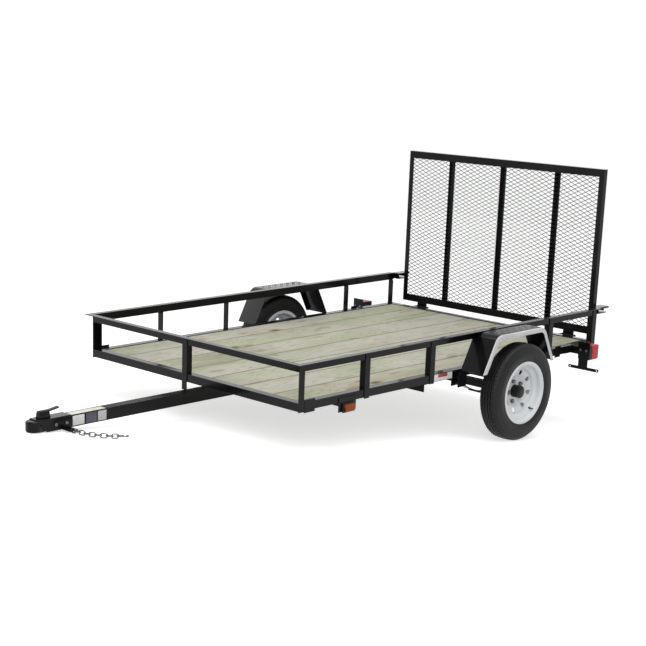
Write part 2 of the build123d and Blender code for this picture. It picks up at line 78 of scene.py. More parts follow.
# Studio: a white floor that takes the trailer's shadow, a plain white surround and three large
# soft lamps, kept low enough that pale timber and white paint don't clip.
bpy.context.scene.view_settings.view_transform = "Standard"
bpy.ops.mesh.primitive_plane_add(size=60.0, location=(0.0, 0.0, -0.0005))
floor = bpy.context.object
floor.name = "floor"
floor_finish = bpy.data.materials.new("floor")
floor_finish.use_nodes = True
floor_shader = floor_finish.node_tree.nodes["Principled BSDF"]
floor_shader.inputs["Base Color"].default_value = (0.60, 0.60, 0.60, 1.0)
floor_shader.inputs["Roughness"].default_value = 0.9
floor_shader.inputs["Specular IOR Level"].default_value = 0.1
floor_shader.inputs["Emission Color"].default_value = (1.0, 1.0, 1.0, 1.0)
floor_nodes, floor_links = floor_finish.node_tree.nodes, floor_finish.node_tree.links
floor_path = floor_nodes.new("ShaderNodeLightPath")
floor_seen = floor_path.outputs["Is Camera Ray"]
for ray in ("Is Glossy Ray", "Is Transmission Ray"):
    either = floor_nodes.new("ShaderNodeMath")
    either.operation = "MAXIMUM"
    floor_links.new(floor_seen, either.inputs[0])
    floor_links.new(floor_path.outputs[ray], either.inputs[1])
    floor_seen = either.outputs[0]
floor_glow = floor_nodes.new("ShaderNodeMath")
floor_glow.operation = "MULTIPLY"
floor_glow.inputs[1].default_value = 0.64
floor_links.new(floor_seen, floor_glow.inputs[0])
floor_links.new(floor_glow.outputs[0], floor_shader.inputs["Emission Strength"])
floor.data.materials.append(floor_finish)

world = bpy.data.worlds.new("studio")
bpy.context.scene.world = world
world.use_nodes = True
world_nodes, world_links = world.node_tree.nodes, world.node_tree.links
surround = world_nodes["Background"]
surround.inputs["Color"].default_value = (1.0, 1.0, 1.0, 1.0)
light_path = world_nodes.new("ShaderNodeLightPath")
seen = world_nodes.new("ShaderNodeMath")
seen.operation = "MAXIMUM"
seen_through = world_nodes.new("ShaderNodeMath")
seen_through.operation = "MAXIMUM"
surround_strength = world_nodes.new("ShaderNodeMapRange")
surround_strength.inputs["To Min"].default_value = 0.62
surround_strength.inputs["To Max"].default_value = 1.0
world_links.new(light_path.outputs["Is Camera Ray"], seen.inputs[0])
world_links.new(light_path.outputs["Is Glossy Ray"], seen.inputs[1])
world_links.new(seen.outputs[0], seen_through.inputs[0])
world_links.new(light_path.outputs["Is Transmission Ray"], seen_through.inputs[1])
world_links.new(seen_through.outputs[0], surround_strength.inputs["Value"])
world_links.new(surround_strength.outputs["Result"], surround.inputs["Strength"])

# lamp: name, place, size, power in watts
studio_lamps = (("overhead", (0.6, 0.8, 5.0), 5.0, 210.0),
                ("front_left", (4.5, 4.5, 3.2), 3.0, 120.0),
                ("front_right", (3.0, -5.0, 3.0), 3.0, 60.0))
for lamp_name, lamp_place, lamp_size, lamp_power in studio_lamps:
    lamp_data = bpy.data.lights.new(lamp_name, "AREA")
    lamp_data.size = lamp_size
    lamp_data.energy = lamp_power
    lamp = bpy.data.objects.new(lamp_name, lamp_data)
    bpy.context.scene.collection.objects.link(lamp)
    lamp.location = lamp_place
    lamp.rotation_euler = (Vector((0.0, 0.0, 0.3)) - Vector(lamp_place)).to_track_quat("-Z", "Y").to_euler()


# Steel frame: hot-rolled angle rails, posts, cross members and a square tongue, welded up and
# sprayed with glossy black enamel that shows a little orange peel, thin spots and road dust.
def new_finish(name):
    """A material with its shader and node tree."""
    material = bpy.data.materials.new(name)
    material.use_nodes = True
    return material, material.node_tree.nodes["Principled BSDF"], material.node_tree


def cloud(tree, scale, detail=4.0, stretch=(1.0, 1.0, 1.0)):
    """A noise in metres over the piece, stretched along its axes."""
    place = tree.nodes.new("ShaderNodeTexCoord")
    mapping = tree.nodes.new("ShaderNodeMapping")
    mapping.inputs["Scale"].default_value = stretch
    noise = tree.nodes.new("ShaderNodeTexNoise")
    noise.inputs["Scale"].default_value = scale
    noise.inputs["Detail"].default_value = detail
    tree.links.new(place.outputs["Object"], mapping.inputs["Vector"])
    tree.links.new(mapping.outputs["Vector"], noise.inputs["Vector"])
    return noise.outputs["Fac"]


def ramp(tree, source, *stops):
    """Colours along a value, each stop a position and a colour."""
    node = tree.nodes.new("ShaderNodeValToRGB")
    elements = node.color_ramp.elements
    while len(elements) < len(stops):
        elements.new(0.5)
    for element, (position, colour) in zip(elements, stops):
        element.position = position
        element.color = (*colour, 1.0)
    tree.links.new(source, node.inputs["Fac"])
    return node.outputs["Color"]


def spread(tree, source, low, high, socket):
    """A value fed to a socket between two limits."""
    node = tree.nodes.new("ShaderNodeMapRange")
    node.inputs["From Min"].default_value = 0.3
    node.inputs["From Max"].default_value = 0.7
    node.inputs["To Min"].default_value = low
    node.inputs["To Max"].default_value = high
    tree.links.new(source, node.inputs["Value"])
    tree.links.new(node.outputs["Result"], socket)


def relief(tree, source, shader, strength, depth):
    """A bump of a real depth in metres."""
    bump = tree.nodes.new("ShaderNodeBump")
    bump.inputs["Strength"].default_value = strength
    bump.inputs["Distance"].default_value = depth
    tree.links.new(source, bump.inputs["Height"])
    tree.links.new(bump.outputs["Normal"], shader.inputs["Normal"])


def enamel_finish(name, bare, dusty, gloss, dull):
    """Sprayed enamel: its colour, the colour of dust on it, and how far its gloss varies."""
    finish, shader, tree = new_finish(name)
    patches = cloud(tree, 5.0, 6.0)
    peel = cloud(tree, 260.0, 2.0)
    tree.links.new(ramp(tree, patches, (0.35, bare), (0.75, dusty)), shader.inputs["Base Color"])
    spread(tree, patches, gloss, dull, shader.inputs["Roughness"])
    relief(tree, peel, shader, 0.10, 0.0004)
    shader.inputs["Specular IOR Level"].default_value = 0.04
    shader.inputs["Coat Weight"].default_value = 1.0
    shader.inputs["Coat Roughness"].default_value = 0.10
    shader.inputs["Coat IOR"].default_value = 1.19
    return finish


black_enamel = enamel_finish("black_enamel", (0.0025, 0.0025, 0.003), (0.006, 0.006, 0.006), 0.22, 0.40)


def dress(node_name, finish, edge=0.0):
    """Gives a frame piece its finish and rolls its edges."""
    piece = nodes[node_name]
    piece.data.materials.clear()
    piece.data.materials.append(finish)
    if edge:
        weld = piece.modifiers.new("joined", "WELD")
        weld.merge_threshold = 0.00005
        rolled = piece.modifiers.new("rolled_edges", "BEVEL")
        rolled.width = edge
        rolled.segments = 2
        rolled.limit_method = "ANGLE"
        rolled.angle_limit = radians(40.0)


rolled_edge = 0.0012
frame_nodes = ("side_rail_left", "side_rail_right", "front_rail", "rear_rail", "cross_members",
               "top_rail_left", "top_rail_right", "top_rail_front", "posts", "post_front", "tongue",
               "chain_bracket", "tie_plates", "latches", "gate_uprights", "marker_brackets",
               "tail_bracket_left", "tail_bracket_right")
for node_name in frame_nodes:
    dress(node_name, black_enamel, rolled_edge)
for node_name in ("coupler", "hinge_ears", "gate_frame"):
    dress(node_name, black_enamel)

# Deck: seven planks of pressure-treated pine, planed with eased edges and slid under the rails'
# flat legs. Each plank has its own grain, knots and green tint from the treatment.
deck_height = 0.402
frame_front, frame_rear, frame_half = 1.542, -0.930, 0.780
steel = 0.004
plank_thickness = 0.038
plank_count = 7
plank_gap = 0.003
plank_fit = 0.0005
plank_pitch = (2 * (frame_half - steel) - 2 * plank_fit + plank_gap) / plank_count
plank_edge = 0.0035
first_plank_y = -(frame_half - steel) + plank_fit
plank_rear, plank_front = frame_rear + steel + plank_fit, frame_front - steel - plank_fit


def only(piece):
    """Selects one piece and makes it the active one."""
    bpy.ops.object.select_all(action="DESELECT")
    piece.select_set(True)
    bpy.context.view_layer.objects.active = piece


def apply_all(piece):
    """Applies a piece's modifiers in order."""
    only(piece)
    for modifier in list(piece.modifiers):
        bpy.ops.object.modifier_apply(modifier=modifier.name)


def fix_place(piece):
    """Writes a piece's place, turn and scale into its mesh."""
    only(piece)
    bpy.ops.object.transform_apply(location=True, rotation=True, scale=True)


def settle(piece, name, finish, body, level=True):
    """Parks a finished piece with the trailer and ties it to its body."""
    piece.name = name
    if level:
        piece.matrix_world = parked @ piece.matrix_world
    fix_place(piece)
    piece.data.materials.clear()
    piece.data.materials.append(finish)
    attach(piece, body)


def start_block(x0, x1, y0, y1, z0, z1):
    """A block between two opposite corners, ready to be shaped."""
    bpy.ops.object.select_all(action="DESELECT")
    bpy.ops.mesh.primitive_cube_add(size=1.0, location=((x0 + x1) / 2, (y0 + y1) / 2, (z0 + z1) / 2))
    piece = bpy.context.object
    piece.scale = (abs(x1 - x0), abs(y1 - y0), abs(z1 - z0))
    bpy.ops.object.transform_apply(location=False, rotation=False, scale=True)
    return piece


def ease(piece, width, segments=2, angle=30.0):
    """Rounds a piece's sharp edges."""
    eased = piece.modifiers.new("eased", "BEVEL")
    eased.width = width
    eased.segments = segments
    eased.limit_method = "ANGLE"
    eased.angle_limit = radians(angle)
    apply_all(piece)
    bpy.ops.object.shade_smooth_by_angle(angle=radians(35.0))


def node_math(tree, operation, first, second):
    """One sum on two sockets or numbers."""
    node = tree.nodes.new("ShaderNodeMath")
    node.operation = operation
    for socket, value in zip(node.inputs, (first, second)):
        if isinstance(value, (int, float)):
            socket.default_value = value
        else:
            tree.links.new(value, socket)
    return node.outputs[0]


def blend_colours(tree, mode, factor, first, second):
    """Two colours mixed by a factor."""
    node = tree.nodes.new("ShaderNodeMix")
    node.data_type = "RGBA"
    node.blend_type = mode
    for socket, value in ((node.inputs[0], factor), (node.inputs[6], first), (node.inputs[7], second)):
        if isinstance(value, float):
            socket.default_value = value
        elif isinstance(value, tuple):
            socket.default_value = (*value, 1.0)
        else:
            tree.links.new(value, socket)
    return node.outputs[2]


pine_finish, pine_shader, pine_tree = new_finish("treated_pine")
pine_place = pine_tree.nodes.new("ShaderNodeTexCoord")
pine_axes = pine_tree.nodes.new("ShaderNodeSeparateXYZ")
pine_tree.links.new(pine_place.outputs["Object"], pine_axes.inputs["Vector"])
plank_offset = node_math(pine_tree, "SUBTRACT", pine_axes.outputs["Y"], first_plank_y - plank_gap / 2)
plank_number = node_math(pine_tree, "FLOOR", node_math(pine_tree, "DIVIDE", plank_offset, plank_pitch), 0.0)
plank_shift = node_math(pine_tree, "MULTIPLY", plank_number, 7.31)
pine_vector = pine_tree.nodes.new("ShaderNodeCombineXYZ")
pine_tree.links.new(node_math(pine_tree, "ADD", pine_axes.outputs["X"], plank_shift), pine_vector.inputs["X"])
pine_tree.links.new(node_math(pine_tree, "ADD", pine_axes.outputs["Y"], plank_shift), pine_vector.inputs["Y"])
pine_tree.links.new(pine_axes.outputs["Z"], pine_vector.inputs["Z"])


def pine_noise(scale, stretch, detail=4.0, distortion=0.0):
    """A noise that runs along the planks and starts afresh on each one."""
    mapping = pine_tree.nodes.new("ShaderNodeMapping")
    mapping.inputs["Scale"].default_value = stretch
    noise = pine_tree.nodes.new("ShaderNodeTexNoise")
    noise.inputs["Scale"].default_value = scale
    noise.inputs["Detail"].default_value = detail
    noise.inputs["Distortion"].default_value = distortion
    pine_tree.links.new(pine_vector.outputs["Vector"], mapping.inputs["Vector"])
    pine_tree.links.new(mapping.outputs["Vector"], noise.inputs["Vector"])
    return noise.outputs["Fac"]


growth = pine_noise(9.0, (0.10, 1.0, 1.0), 2.0, 0.6)
rings = node_math(pine_tree, "FRACT", node_math(pine_tree, "MULTIPLY", growth, 17.0), 0.0)
fibres = pine_noise(150.0, (0.02, 1.0, 1.0), 3.0)
tone = pine_noise(1.6, (0.7, 1.0, 1.0), 3.0)
damp = pine_noise(3.0, (0.35, 1.0, 1.0), 2.0)
knot_place = pine_tree.nodes.new("ShaderNodeMapping")
knot_place.inputs["Scale"].default_value = (0.55, 1.0, 0.0)
knots = pine_tree.nodes.new("ShaderNodeTexVoronoi")
knots.inputs["Scale"].default_value = 4.2
pine_tree.links.new(pine_vector.outputs["Vector"], knot_place.inputs["Vector"])
pine_tree.links.new(knot_place.outputs["Vector"], knots.inputs["Vector"])
pine_colour = ramp(pine_tree, tone, (0.30, (0.31, 0.298, 0.262)), (0.48, (0.405, 0.396, 0.350)),
                   (0.66, (0.35, 0.350, 0.310)))
ring_colour = ramp(pine_tree, rings, (0.0, (1.0, 1.0, 1.0)), (0.60, (0.95, 0.93, 0.88)),
                   (0.92, (0.70, 0.65, 0.54)), (1.0, (0.98, 0.98, 0.97)))
pine_colour = blend_colours(pine_tree, "MULTIPLY", 0.8, pine_colour, ring_colour)
fibre_colour = ramp(pine_tree, fibres, (0.3, (0.80, 0.78, 0.72)), (0.6, (1.0, 1.0, 1.0)))
pine_colour = blend_colours(pine_tree, "MULTIPLY", 0.7, pine_colour, fibre_colour)
green = ramp(pine_tree, damp, (0.48, (1.0, 1.0, 1.0)), (0.66, (0.84, 0.92, 0.74)))
pine_colour = blend_colours(pine_tree, "MULTIPLY", 0.8, pine_colour, green)
stain = ramp(pine_tree, pine_noise(2.3, (0.22, 1.6, 1.0), 3.0),
             (0.55, (1.0, 1.0, 1.0)), (0.72, (0.72, 0.66, 0.58)))
pine_colour = blend_colours(pine_tree, "MULTIPLY", 0.7, pine_colour, stain)
flecks = ramp(pine_tree, pine_noise(11.0, (0.40, 1.7, 1.0), 2.0),
              (0.64, (1.0, 1.0, 1.0)), (0.72, (0.60, 0.50, 0.38)))
pine_colour = blend_colours(pine_tree, "MULTIPLY", 0.8, pine_colour, flecks)
knot_colour = ramp(pine_tree, knots.outputs["Distance"], (0.0, (0.16, 0.09, 0.05)),
                   (0.055, (0.26, 0.17, 0.09)), (0.085, (0.66, 0.57, 0.42)), (0.15, (1.0, 1.0, 1.0)))
pine_colour = blend_colours(pine_tree, "MULTIPLY", 0.9, pine_colour, knot_colour)
# each plank is darker along its long edges: dirt, together with painted shade of the gaps between planks
plank_edge_place = node_math(pine_tree, "PINGPONG", plank_offset, plank_pitch / 2)
edge_dirt_and_shade = ramp(pine_tree, node_math(pine_tree, "DIVIDE", plank_edge_place, plank_pitch / 2),
            (0.02, (0.48, 0.45, 0.40)), (0.055, (0.86, 0.84, 0.80)), (0.12, (1.0, 1.0, 1.0)))
pine_colour = blend_colours(pine_tree, "MULTIPLY", 0.9, pine_colour, edge_dirt_and_shade)
pine_tree.links.new(pine_colour, pine_shader.inputs["Base Color"])
spread(pine_tree, fibres, 0.55, 0.8, pine_shader.inputs["Roughness"])
relief(pine_tree, fibres, pine_shader, 0.35, 0.0006)
pine_shader.inputs["Specular IOR Level"].default_value = 0.25

for number in range(plank_count):
    plank_y = first_plank_y + number * plank_pitch
    plank = start_block(plank_rear, plank_front, plank_y, plank_y + plank_pitch - plank_gap,
                        deck_height - plank_thickness, deck_height)
    ease(plank, plank_edge, 3)
    settle(plank, f"plank_{number + 1}", pine_finish, "chassis")
    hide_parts(f"deck_board_{number + 1}")

# Deck screws: zinc flat-headed self-drilling screws, two through each plank into every cross member,
# driven until their heads sit almost flush with the timber.
cross_setbacks = (0.360, 0.930, 1.468, 1.970)
cross_faces = [frame_front - setback for setback in cross_setbacks] + [frame_rear + 0.067]
screw_radius, screw_long, screw_rise = 0.0045, 0.003, 0.0004
screw_setback, screw_spread = 0.020, 0.072


def plated_finish(name, scale, detail, *stops):
    """Zinc plating with brighter and duller patches."""
    finish, shader, tree = new_finish(name)
    patches = cloud(tree, scale, detail)
    tree.links.new(ramp(tree, patches, *stops), shader.inputs["Base Color"])
    shader.inputs["Metallic"].default_value = 0.9
    spread(tree, patches, 0.25, 0.45, shader.inputs["Roughness"])
    return finish


zinc_finish = plated_finish("zinc_plate", 40.0, 5.0, (0.3, (0.20, 0.205, 0.20)), (0.7, (0.32, 0.32, 0.30)))


def start_round(radius, depth, place, sides, turn=(0.0, 0.0, 0.0)):
    """A short round bar, ready to be shaped."""
    bpy.ops.object.select_all(action="DESELECT")
    bpy.ops.mesh.primitive_cylinder_add(vertices=sides, radius=radius, depth=depth,
                                        location=place, rotation=turn)
    piece = bpy.context.object
    bpy.ops.object.transform_apply(location=False, rotation=True, scale=True)
    return piece


def pick_faces(piece, test):
    """Goes into edit mode with the faces selected whose centre and normal pass a test."""
    only(piece)
    bpy.ops.object.mode_set(mode="EDIT")
    bpy.ops.mesh.select_mode(type="FACE")
    bpy.ops.mesh.select_all(action="DESELECT")
    mesh = bmesh.from_edit_mesh(piece.data)
    for face in mesh.faces:
        face.select_set(test(face.calc_center_median(), face.normal))
    bmesh.update_edit_mesh(piece.data)


def copies(model, places):
    """One mesh with a copy of a model at each place; the model itself goes."""
    pieces = []
    for place in places:
        twin = model.copy()
        twin.data = model.data.copy()
        bpy.context.scene.collection.objects.link(twin)
        twin.matrix_world = place @ model.matrix_world
        pieces.append(twin)
    bpy.data.objects.remove(model)
    only(pieces[0])
    for twin in pieces[1:]:
        twin.select_set(True)
    bpy.ops.object.join()
    fix_place(pieces[0])
    return pieces[0]


screw = start_round(screw_radius, screw_long, (0.0, 0.0, screw_rise - screw_long / 2), 12)
pick_faces(screw, lambda centre, normal: normal.z > 0.9)
bpy.ops.mesh.inset(thickness=0.0022, depth=0.0)
bpy.ops.mesh.extrude_region_move(TRANSFORM_OT_translate={"value": (0.0, 0.0, -0.0012)})
bpy.ops.object.mode_set(mode="OBJECT")
screw_places = []
for face_x in cross_faces:
    for number in range(plank_count):
        plank_middle = first_plank_y + number * plank_pitch + (plank_pitch - plank_gap) / 2
        for side in (-1, 1):
            screw_y = plank_middle + side * screw_spread
            screw_places.append(Matrix.Translation((face_x - screw_setback, screw_y, deck_height)))
screws = copies(screw, screw_places)
settle(screws, "deck_screws", zinc_finish, "chassis")

# Stickers and tape: bare printed-film patches on the tongue's left face and top, and a strip of
# red and white reflective tape on the left lower rail. They carry no words.
film = 0.0003
tongue_half = 0.030
tongue_low, tongue_high = 0.262, 0.322


def patch(name, colour, x0, x1, y, z0, z1, gloss):
    """A thin film on an upright face that looks to the left."""
    finish, shader, tree = new_finish(name)
    wear = cloud(tree, 60.0, 4.0)
    faded = tuple(0.82 * part + 0.02 for part in colour)
    tree.links.new(ramp(tree, wear, (0.4, colour), (0.7, faded)), shader.inputs["Base Color"])
    spread(tree, wear, gloss, gloss + 0.15, shader.inputs["Roughness"])
    piece = start_block(x0, x1, y - 0.0001, y + film, z0, z1)
    ease(piece, 0.0012, 2, 60.0)
    settle(piece, name, finish, "chassis")


# film on the tongue: name, colour, rear end, front end, margin above and below
for film_name, film_colour, film_rear, film_front, margin in (
        ("film_white", (0.60, 0.60, 0.57), 2.232, 2.302, 0.006),
        ("film_dark", (0.05, 0.04, 0.06), 2.158, 2.222, 0.005),
        ("film_grey", (0.42, 0.42, 0.41), 2.098, 2.150, 0.006)):
    patch(film_name, film_colour, film_rear, film_front, tongue_half,
          tongue_low + margin, tongue_high - margin, 0.3)
rail_low, tape_high = deck_height - plank_thickness, deck_height + 0.001
patch("tape_white", (0.66, 0.64, 0.62), 0.384, 0.540, frame_half, rail_low + 0.002, tape_high, 0.35)
patch("tape_red", (0.30, 0.03, 0.035), 0.425, 0.500, frame_half + film, rail_low + 0.020, tape_high, 0.35)
cream_finish, cream_shader, cream_tree = new_finish("film_cream")
cream_wear = cloud(cream_tree, 45.0, 4.0)
cream_tree.links.new(ramp(cream_tree, cream_wear, (0.4, (0.60, 0.58, 0.50)), (0.7, (0.48, 0.46, 0.40))),
                     cream_shader.inputs["Base Color"])
spread(cream_tree, cream_wear, 0.3, 0.5, cream_shader.inputs["Roughness"])
cream = start_block(2.098, 2.305, -0.018, 0.026, tongue_high - 0.0001, tongue_high + film)
ease(cream, 0.0012, 2, 60.0)
settle(cream, "film_cream", cream_finish, "chassis")

# Coupler latch: a folded steel lever that is hinged over the socket, with its tail bent up for the
# hand. Two plated bolts on each side hold the coupler to the tongue.
coupler_tip = 2.547
coupler_roof = tongue_high + 0.0038
coupler_side = tongue_half + 0.0038
latch_rear, latch_front = coupler_tip - 0.126, coupler_tip - 0.062
latch_half, latch_high = 0.018, 0.032
tail_half, tail_sheet = 0.014, 0.006
tail_low = coupler_roof + latch_high - 0.003
latch = start_block(latch_rear, latch_front, -latch_half, latch_half, coupler_roof, coupler_roof + latch_high)
pick_faces(latch, lambda centre, normal: normal.z > 0.9)
bpy.ops.transform.resize(value=(0.90, 0.80, 1.0))
bpy.ops.object.mode_set(mode="OBJECT")
ease(latch, 0.0030, 3)
tail = start_block(latch_rear - 0.002, latch_front - 0.006, -tail_half, tail_half,
                   tail_low, tail_low + tail_sheet)
fix_place(tail)
for run, rise in ((-0.030, 0.004), (-0.022, 0.005)):
    pick_faces(tail, lambda centre, normal: normal.x < -0.7 and centre.x < latch_rear)
    bpy.ops.mesh.extrude_region_move(TRANSFORM_OT_translate={"value": (run, 0.0, rise)})
    bpy.ops.object.mode_set(mode="OBJECT")
ease(tail, 0.0016, 2)
only(latch)
tail.select_set(True)
bpy.ops.object.join()
settle(latch, "latch_lever", black_enamel, "chassis")
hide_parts("coupler_latch")
dull_zinc = plated_finish("dull_zinc", 120.0, 4.0, (0.35, (0.07, 0.07, 0.07)), (0.7, (0.24, 0.24, 0.23)))


def chamfer_head(piece, test, width, rise):
    """Raises the top of a bolt head or nut behind a chamfer."""
    pick_faces(piece, test)
    bpy.ops.mesh.inset(thickness=width, depth=rise)
    bpy.ops.object.mode_set(mode="OBJECT")


bolt_radius, bolt_head = 0.0090, 0.0060
bolt = start_round(bolt_radius, bolt_head, (0.0, bolt_head / 2, 0.0), 6, (-pi / 2, 0.0, 0.0))
chamfer_head(bolt, lambda centre, normal: normal.y > 0.9, 0.0018, 0.0008)
mirror_y = Matrix.Scale(-1.0, 4, (0.0, 1.0, 0.0))
bolt_spots = []
for bolt_x in (coupler_tip - 0.205, coupler_tip - 0.142):
    bolt_spot = Matrix.Translation((bolt_x, coupler_side - 0.0002, (tongue_low + tongue_high) / 2))
    bolt_spots += [bolt_spot, mirror_y @ bolt_spot]
bolts = copies(bolt, bolt_spots)


def face_outward(piece):
    """Turns a piece's faces outward again after a mirrored copy."""
    only(piece)
    bpy.ops.object.mode_set(mode="EDIT")
    bpy.ops.mesh.select_all(action="SELECT")
    bpy.ops.mesh.normals_make_consistent(inside=False)
    bpy.ops.object.mode_set(mode="OBJECT")


face_outward(bolts)
settle(bolts, "coupler_bolts", dull_zinc, "chassis")

# Safety chains: welded round-wire links plated with zinc. They hang from the bracket under the
# tongue and lie along the floor, each with an open hook on its end.
link_rod, link_pitch, link_inner, link_slack = 0.006, 0.027, 0.014, 0.0023
link_count, link_turn = 9, 9.0
link_slot = link_pitch + link_slack - link_inner
hook_inner = 0.011
chain_hole_y = 0.064
chain_eye = parked @ Vector((coupler_tip - 0.215, chain_hole_y, tongue_low - 0.003))


def start_ring(major, minor, around=28, section=12):
    """A wire ring, ready to be drawn out into a link."""
    bpy.ops.object.select_all(action="DESELECT")
    bpy.ops.mesh.primitive_torus_add(major_radius=major, minor_radius=minor, major_segments=around,
                                     minor_segments=section)
    return bpy.context.object


def draw_out(piece, reach):
    """Pulls the two ends of a ring apart into a long link."""
    only(piece)
    for side in (-1, 1):
        bpy.ops.object.mode_set(mode="EDIT")
        bpy.ops.mesh.select_mode(type="VERT")
        bpy.ops.mesh.select_all(action="DESELECT")
        mesh = bmesh.from_edit_mesh(piece.data)
        for vertex in mesh.verts:
            vertex.select_set(vertex.co.x * side > 0.0001)
        bmesh.update_edit_mesh(piece.data)
        bpy.ops.transform.translate(value=(side * reach, 0.0, 0.0))
        bpy.ops.object.mode_set(mode="OBJECT")


link_places = []
link_x, link_y = chain_eye.x, chain_eye.y - 0.0025 + (link_slot + link_inner) / 2
for number in range(link_count + 1):
    heading = radians(90.0 + number * link_turn)
    lie = Matrix.Rotation(0.0 if number % 2 else pi / 2, 4, "X")
    link_places.append(Matrix.Translation((link_x, link_y, chain_eye.z))
                       @ Matrix.Rotation(heading, 4, "Z") @ lie)
    link_step = heading + radians(link_turn) / 2
    link_x += link_pitch * cos(link_step)
    link_y += link_pitch * sin(link_step)
for side, place_side in (("left", Matrix.Identity(4)), ("right", mirror_y)):
    link = start_ring((link_inner + link_rod) / 2, link_rod / 2)
    draw_out(link, link_slot / 2)
    chain = copies(link, [place_side @ place for place in link_places])
    hook = start_ring(hook_inner + link_rod / 2, link_rod / 2 + 0.0004, 40)
    pick_faces(hook, lambda centre, normal: centre.x > -0.003 and centre.y > 0.0075)
    bpy.ops.mesh.delete(type="FACE")
    bpy.ops.mesh.select_mode(type="EDGE")
    bpy.ops.mesh.select_non_manifold()
    bpy.ops.mesh.edge_face_add()
    bpy.ops.object.mode_set(mode="OBJECT")
    hook_reach = (link_slot + link_inner) / 2 + link_rod / 2 + hook_inner
    hook.matrix_world = place_side @ link_places[-1] @ Matrix.Translation((hook_reach, 0.0, 0.0))
    only(chain)
    hook.select_set(True)
    bpy.ops.object.join()
    face_outward(chain)
    bpy.ops.object.shade_smooth_by_angle(angle=radians(50.0))
    settle(chain, f"chain_links_{side}", dull_zinc, "chassis", level=False)
    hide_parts(f"chain_{side}")

# Running gear: an axle beam on two leaf springs, held by U bolts and hung from the rails, all painted
# satin black. Plated nuts draw the U bolts down under the spring plates.
satin_black = enamel_finish("satin_black", (0.008, 0.008, 0.009), (0.022, 0.021, 0.020), 0.35, 0.55)
for node_name in ("axle", "spring_left", "spring_right", "hangers", "axle_clamps"):
    dress(node_name, satin_black)
spring_y, clamp_x, clamp_y, clamp_low = frame_half - 0.020, 0.027, 0.025, 0.2251
clamp_nut_radius, clamp_nut_high = 0.0095, 0.0080
clamp_nut = start_round(clamp_nut_radius, clamp_nut_high, (0.0, 0.0, -clamp_nut_high / 2), 6)
chamfer_head(clamp_nut, lambda centre, normal: normal.z < -0.9, 0.0020, 0.0008)
clamp_spots = [Matrix.Translation((along * clamp_x, side * spring_y + across * clamp_y, clamp_low))
               for side in (-1, 1) for across in (-1, 1) for along in (-1, 1)]
clamp_nuts = copies(clamp_nut, clamp_spots)
settle(clamp_nuts, "clamp_nuts", dull_zinc, "chassis")

# Tyres: 12 inch bias-ply trailer tyres with five zigzag ribs, notched shoulders and plain sidewalls
# that have raised bead rings.
tyre_radius = 0.265
rubber_finish, rubber_shader, rubber_tree = new_finish("rubber")
rubber_dust = cloud(rubber_tree, 9.0, 6.0)
rubber_pores = cloud(rubber_tree, 420.0, 3.0)
rubber_colour = ramp(rubber_tree, rubber_dust, (0.35, (0.0025, 0.0025, 0.003)),
                     (0.75, (0.009, 0.0088, 0.0086)))
rubber_tree.links.new(rubber_colour, rubber_shader.inputs["Base Color"])
spread(rubber_tree, rubber_dust, 0.40, 0.62, rubber_shader.inputs["Roughness"])
relief(rubber_tree, rubber_pores, rubber_shader, 0.25, 0.0004)
rubber_shader.inputs["Specular IOR Level"].default_value = 0.25
wall_section = ((0.1515, 0.0395), (0.1575, 0.0480), (0.1720, 0.0515), (0.1765, 0.0552), (0.1800, 0.0570),
                (0.1850, 0.0568), (0.1880, 0.0582), (0.1990, 0.0594), (0.2120, 0.0600), (0.2260, 0.0588),
                (0.2290, 0.0572), (0.2330, 0.0578), (0.2460, 0.0530), (0.2545, 0.0462), (0.2600, 0.0400),
                (0.2630, 0.0360))
groove_middles = (0.0265, 0.0095, -0.0095, -0.0265)
groove_half, groove_depth = 0.0024, 0.0055
zigzag, notch_depth = 0.0022, 0.0022
tread_steps = 144


def crown(y):
    """The tread's radius, a little rounded across its width."""
    return tyre_radius - 0.0022 * (y / 0.034) ** 2


def lathe(name, section, steps):
    """Spins a closed section of radius and width points about the wheel's axle line."""
    bpy.ops.object.select_all(action="DESELECT")
    bpy.ops.mesh.primitive_circle_add(vertices=len(section), radius=1.0, fill_type="NOTHING")
    piece = bpy.context.object
    piece.name = name
    for vertex, (radius, width) in zip(piece.data.vertices, section):
        vertex.co = (radius, width, 0.0)
    bpy.ops.object.mode_set(mode="EDIT")
    bpy.ops.mesh.select_all(action="SELECT")
    bpy.ops.mesh.spin(steps=steps, angle=2 * pi, center=(0.0, 0.0, 0.0), axis=(0.0, 1.0, 0.0))
    bpy.ops.mesh.select_all(action="SELECT")
    bpy.ops.mesh.remove_doubles(threshold=0.00002)
    bpy.ops.mesh.normals_make_consistent(inside=False)
    bpy.ops.object.mode_set(mode="OBJECT")
    bpy.ops.object.shade_smooth_by_angle(angle=radians(32.0))
    return piece


